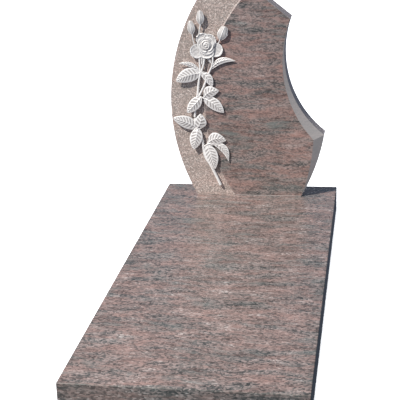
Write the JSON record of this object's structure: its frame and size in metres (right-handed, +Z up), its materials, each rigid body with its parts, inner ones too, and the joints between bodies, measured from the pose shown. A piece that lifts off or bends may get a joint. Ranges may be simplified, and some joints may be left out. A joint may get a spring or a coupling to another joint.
{
  "type": "grave monument",
  "caption": "Single-grave monument: flat granite ledger slab, upright headstone with a curved bite and bevel, and a cast metal rose spray on its matte band.",
  "frame": {"origin": "centre of the ledger slab's underside", "axes": "+Y along the slab towards the headstone, +Z up, +X to the right of someone who faces the headstone"},
  "size_m": [0.8, 2, 1.1566],
  "materials": {
    "slab_granite": "polished streaked red-grey granite, sides sawn fine",
    "headstone_granite": "polished red-grey granite, matte bush-hammered band, honed bevel",
    "cast_metal": "bright satin cast, rims and veins rubbed lighter"
  },
  "bodies": {
    "root": {"ledger_slab": "slab_granite", "headstone": "headstone_granite", "rose_ornament": "cast_metal"}
  },
  "joints": []
}
